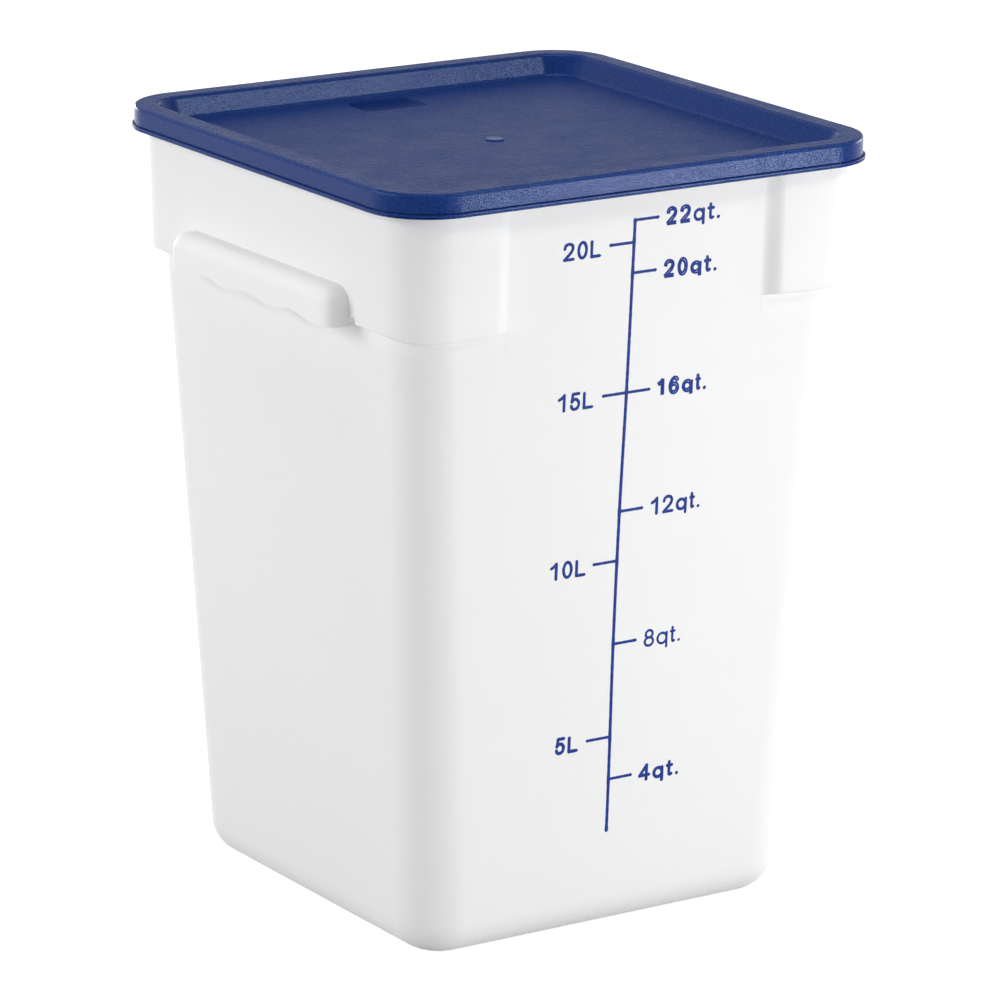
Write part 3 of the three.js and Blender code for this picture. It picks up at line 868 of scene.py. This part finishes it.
def stroke(line, widths, closed=False):
    """Points and faces of one raised stroke of ink along a line on the front wall."""
    stations = list(zip(line, directions(line, closed), (w / 2 for w in widths)))
    if not closed:
        for end, sign in ((0, -1), (-1, 1)):
            here, along, half = stations[end]
            cap = [(here + along * sign * half * math.sin(a), along, half * math.cos(a))
                   for a in STROKE_END_ANGLES]
            stations = cap[::-1] + stations if sign < 0 else stations + cap
    rings = []
    for here, along, half in stations:
        ring = []
        for out, up in arc(1, STROKE_STEPS, 0, math.pi):
            place = here + Vector((along.y, -along.x)) * out * half
            lift = up ** 0.5 * (PRINT_HEIGHT + PRINT_SINK) - PRINT_SINK
            ring.append(on_front_wall(place.x, place.y, lift))
        rings.append(ring)
    if not closed:
        return closed_skin(rings)
    points = [p for ring in rings for p in ring]
    faces = [tuple(i % len(points) for i in face) for face in quads(len(rings) + 1, len(ring), True)]
    return points, faces


def uneven(line, width):
    """Widths along a line, a little uneven as ink is."""
    reach = 0
    widths = []
    for i, here in enumerate(line):
        reach += (here - line[i - 1]).length / MM if i else here.x / MM
        widths.append(width * (1 + 0.04 * math.sin(1.3 * reach) + 0.03 * math.sin(3.1 * reach)))
    return widths


def doubled(line, width, closed):
    """Two thinner lines side by side, nearly touching, for a stroke that was inked twice."""
    pair = []
    for side in (-1, 1):
        shifted = []
        for i, (here, along) in enumerate(zip(line, directions(line, closed))):
            gap = 0.25 + 0.045 * math.sin(3 * math.pi * i / len(line))
            shifted.append(here + Vector((along.y, -along.x)) * side * gap * width)
        pair.append(shifted)
    return pair


def glyph_lines(symbol):
    """The centre lines of one figure or letter in a box from 0 to 1, and whether each is closed."""
    open_lines = {
        "1": [spline([(0.0, 0.74), (0.5, 0.84), (0.95, 1.0)], GLYPH_STEPS),
              [(0.95, 1.0), (0.95, 0.5), (0.95, 0.0)]],
        "2": [spline([(0.02, 0.72), (0.14, 0.92), (0.48, 1.0), (0.84, 0.92), (0.95, 0.72), (0.78, 0.47),
                      (0.38, 0.22), (0.0, 0.0)], GLYPH_STEPS), [(0.0, 0.0), (0.5, 0.0), (1.0, 0.0)]],
        "4": [[(0.74, 1.0), (0.37, 0.65), (0.0, 0.3)], [(0.0, 0.3), (0.5, 0.3), (1.0, 0.3)],
              [(0.74, 1.0), (0.74, 0.5), (0.74, 0.0)]],
        "5": [[(0.2, 1.0), (0.55, 1.0), (0.93, 1.0)], [(0.2, 1.0), (0.13, 0.75), (0.06, 0.5)],
              spline([(0.06, 0.5), (0.28, 0.62), (0.62, 0.64), (0.92, 0.48), (0.97, 0.28), (0.8, 0.07),
                      (0.45, 0.0), (0.12, 0.06), (0.0, 0.22)], GLYPH_STEPS)],
        "6": [spline([(0.95, 0.82), (0.8, 0.96), (0.5, 1.0), (0.18, 0.85), (0.04, 0.55),
                      (0.03, 0.33)], GLYPH_STEPS)],
        "L": [[(0.0, 1.0), (0.0, 0.5), (0.0, 0.0)], [(0.0, 0.0), (0.5, 0.0), (1.0, 0.0)]],
        "q": [[(1.0, 1.0), (1.0, 0.5), (1.0, -DESCENDER / BOWL_HEIGHT)]],
        "t": [spline([(0.42, 1.0), (0.42, 0.5), (0.42, 0.16), (0.6, 0.01), (0.95, 0.04)], GLYPH_STEPS),
              [(0.0, 0.73), (0.5, 0.73), (1.0, 0.73)]],
        ".": [[(0.3, 0.35), (0.5, 0.5), (0.7, 0.65)]],
    }
    closed_lines = {
        "0": [oval((0.5, 0.5), (0.48, 0.5))],
        "6": [oval((0.5, 0.3), (0.47, 0.3))],
        "8": [oval((0.5, 0.76), (0.41, 0.24)), oval((0.5, 0.27), (0.5, 0.27))],
        "q": [oval((0.5, 0.5), (0.49, 0.5))],
    }
    lines = [(line, False) for line in open_lines.get(symbol, [])]
    return lines + [(line, True) for line in closed_lines.get(symbol, [])]


def word_strokes(word, left, baseline, figure_stroke, q_stroke, t_stroke, t_width):
    """All strokes of one word of the scale, as pairs of points and faces."""
    strokes = []
    for symbol in word:
        glyph_width = t_width if symbol == "t" else GLYPH_WIDTHS[symbol]
        width = {"q": q_stroke, "t": t_stroke, ".": min(figure_stroke, BROAD)}.get(symbol, figure_stroke)
        box = (glyph_width - width, GLYPH_HEIGHTS.get(symbol, DIGIT_HEIGHT) - width)
        corner = Vector((left + width / 2, baseline + width / 2))
        for line, closed in glyph_lines(symbol):
            placed = [corner + Vector((p[0] * max(box[0], 0.1 * width), p[1] * max(box[1], 0.1 * width)))
                      for p in line]
            if width == DOUBLE:
                strokes += [stroke(half, uneven(half, 0.53 * width), closed)
                            for half in doubled(placed, width, closed)]
            else:
                strokes.append(stroke(placed, uneven(placed, width), closed))
        left += glyph_width + (ONE_GAP if symbol == "1" else GLYPH_GAP)
    return strokes


def joined(strokes):
    points = []
    faces = []
    for part_points, part_faces in strokes:
        faces += [tuple(len(points) + i for i in face) for face in part_faces]
        points += part_points
    return points, faces


def make_scale():
    """The upright line with its ticks."""
    line = spline(LINE_KNOTS, LINE_STEPS)
    ticks = [row[0] for row in SCALE_WORDS.values()]
    widths = uneven(line, LINE_WIDTH)
    for i, place in enumerate(line):
        nearest = min(abs(place.y - height) for height in ticks + [LINE_KNOTS[0][1]])
        widths[i] *= 1 + 0.18 * (1 - smooth(nearest / (2 * LINE_WIDTH)))
    strokes = [stroke(line, widths)]
    for word, (height, *_) in SCALE_WORDS.items():
        start = min(line, key=lambda place: abs(place.y - height))
        reach = -LEFT_TICK if word.endswith("L") else RIGHT_TICK
        tip = start + Vector((reach - math.copysign(TICK_WIDTH / 2, reach), 0))
        tick = [start.lerp(tip, i / TICK_STEPS) for i in range(TICK_STEPS + 1)]
        widths = uneven(tick, TICK_WIDTH)
        widths[-1] *= 1.15
        strokes.append(stroke(tick, widths))
    return mesh_piece("scale_print", *joined(strokes), INK, "tub", "blue_ink")


def make_words():
    for word, (height, left, *strokes) in SCALE_WORDS.items():
        name = "word_" + word.replace("qt.", "_qt").replace("L", "_litre")
        mesh_piece(name, *joined(word_strokes(word, left, height - BASELINE_DROP, *strokes)),
                   INK, "tub", "blue_ink")


# The pieces

tub = make_tub()
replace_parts(tub, "tub")
make_handles()
lid = make_lid()
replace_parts(lid, "lid")
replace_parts(make_scale(), "scale_line")
make_words()


# Stage, light and camera

def light_path_fac(tree):
    """1 for rays from the camera, from gloss and through glass."""
    path = tree.nodes.new("ShaderNodeLightPath")
    first = tree.nodes.new("ShaderNodeMath")
    first.operation = "MAXIMUM"
    second = tree.nodes.new("ShaderNodeMath")
    second.operation = "MAXIMUM"
    tree.links.new(path.outputs["Is Camera Ray"], first.inputs[0])
    tree.links.new(path.outputs["Is Glossy Ray"], first.inputs[1])
    tree.links.new(first.outputs[0], second.inputs[0])
    tree.links.new(path.outputs["Is Transmission Ray"], second.inputs[1])
    return second.outputs[0]


def make_world():
    world = bpy.data.worlds.new("studio")
    world.use_nodes = True
    bpy.context.scene.world = world
    tree = world.node_tree
    background = tree.nodes["Background"]
    strength = tree.nodes.new("ShaderNodeMapRange")
    strength.inputs["To Min"].default_value = WORLD_LIGHT
    strength.inputs["To Max"].default_value = 1
    tree.links.new(light_path_fac(tree), strength.inputs["Value"])
    background.inputs["Color"].default_value = (1, 1, 1, 1)
    tree.links.new(strength.outputs["Result"], background.inputs["Strength"])


def make_floor():
    half = FLOOR_SIZE / 2
    mesh = bpy.data.meshes.new("floor")
    mesh.from_pydata([(-half, -half, 0), (half, -half, 0), (half, half, 0), (-half, half, 0)], [],
                     [(0, 1, 2, 3)])
    floor = bpy.data.objects.new("floor", mesh)
    bpy.context.scene.collection.objects.link(floor)
    material = bpy.data.materials.new("floor")
    material.use_nodes = True
    tree = material.node_tree
    tree.nodes.remove(tree.nodes["Principled BSDF"])
    diffuse = tree.nodes.new("ShaderNodeBsdfDiffuse")
    diffuse.inputs["Color"].default_value = (FLOOR_COLOUR, FLOOR_COLOUR, FLOOR_COLOUR, 1)
    glow = tree.nodes.new("ShaderNodeEmission")
    strength = tree.nodes.new("ShaderNodeMath")
    strength.operation = "MULTIPLY"
    strength.inputs[1].default_value = FLOOR_GLOW
    tree.links.new(light_path_fac(tree), strength.inputs[0])
    tree.links.new(strength.outputs[0], glow.inputs["Strength"])
    both = tree.nodes.new("ShaderNodeAddShader")
    tree.links.new(diffuse.outputs[0], both.inputs[0])
    tree.links.new(glow.outputs[0], both.inputs[1])
    tree.links.new(both.outputs[0], tree.nodes["Material Output"].inputs["Surface"])
    mesh.materials.append(material)


def area_light(name, place, size, power):
    light = bpy.data.lights.new(name, "AREA")
    light.shape = "RECTANGLE"
    light.size, light.size_y = size
    light.energy = power
    lamp = bpy.data.objects.new(name, light)
    bpy.context.scene.collection.objects.link(lamp)
    lamp.location = place
    aim = LAMP_TARGET - Vector(place)
    lamp.rotation_euler = aim.to_track_quat("-Z", "Y").to_euler()


def make_camera():
    back = Vector((math.sin(CAMERA_AZIMUTH) * math.cos(CAMERA_ELEVATION),
                   -math.cos(CAMERA_AZIMUTH) * math.cos(CAMERA_ELEVATION),
                   math.sin(CAMERA_ELEVATION)))
    right = (-back).cross(Vector((0, 0, 1))).normalized()
    up = right.cross(-back)
    base = Matrix((right, up, -back))
    pan = Matrix(((math.cos(CAMERA_PAN), 0, math.sin(CAMERA_PAN)), (0, 1, 0),
                  (-math.sin(CAMERA_PAN), 0, math.cos(CAMERA_PAN))))
    tilt = Matrix(((1, 0, 0), (0, math.cos(CAMERA_TILT), -math.sin(CAMERA_TILT)),
                   (0, math.sin(CAMERA_TILT), math.cos(CAMERA_TILT))))
    roll = Matrix(((math.cos(CAMERA_ROLL), -math.sin(CAMERA_ROLL), 0),
                   (math.sin(CAMERA_ROLL), math.cos(CAMERA_ROLL), 0), (0, 0, 1)))
    turned = roll @ tilt @ pan @ base
    data = bpy.data.cameras.new("camera")
    data.lens = CAMERA_LENS
    data.sensor_width = CAMERA_SENSOR
    camera = bpy.data.objects.new("camera", data)
    bpy.context.scene.collection.objects.link(camera)
    facing = Matrix((turned[0], turned[1], -turned[2])).transposed()
    camera.matrix_world = Matrix.Translation(CAMERA_TARGET + back * CAMERA_DISTANCE) @ facing.to_4x4()
    bpy.context.scene.camera = camera


make_world()
make_floor()
for lamp_name, (lamp_place, lamp_size, lamp_power) in LAMPS.items():
    area_light(lamp_name, lamp_place, lamp_size, lamp_power)
make_camera()
bpy.context.scene.view_settings.view_transform = "Standard"
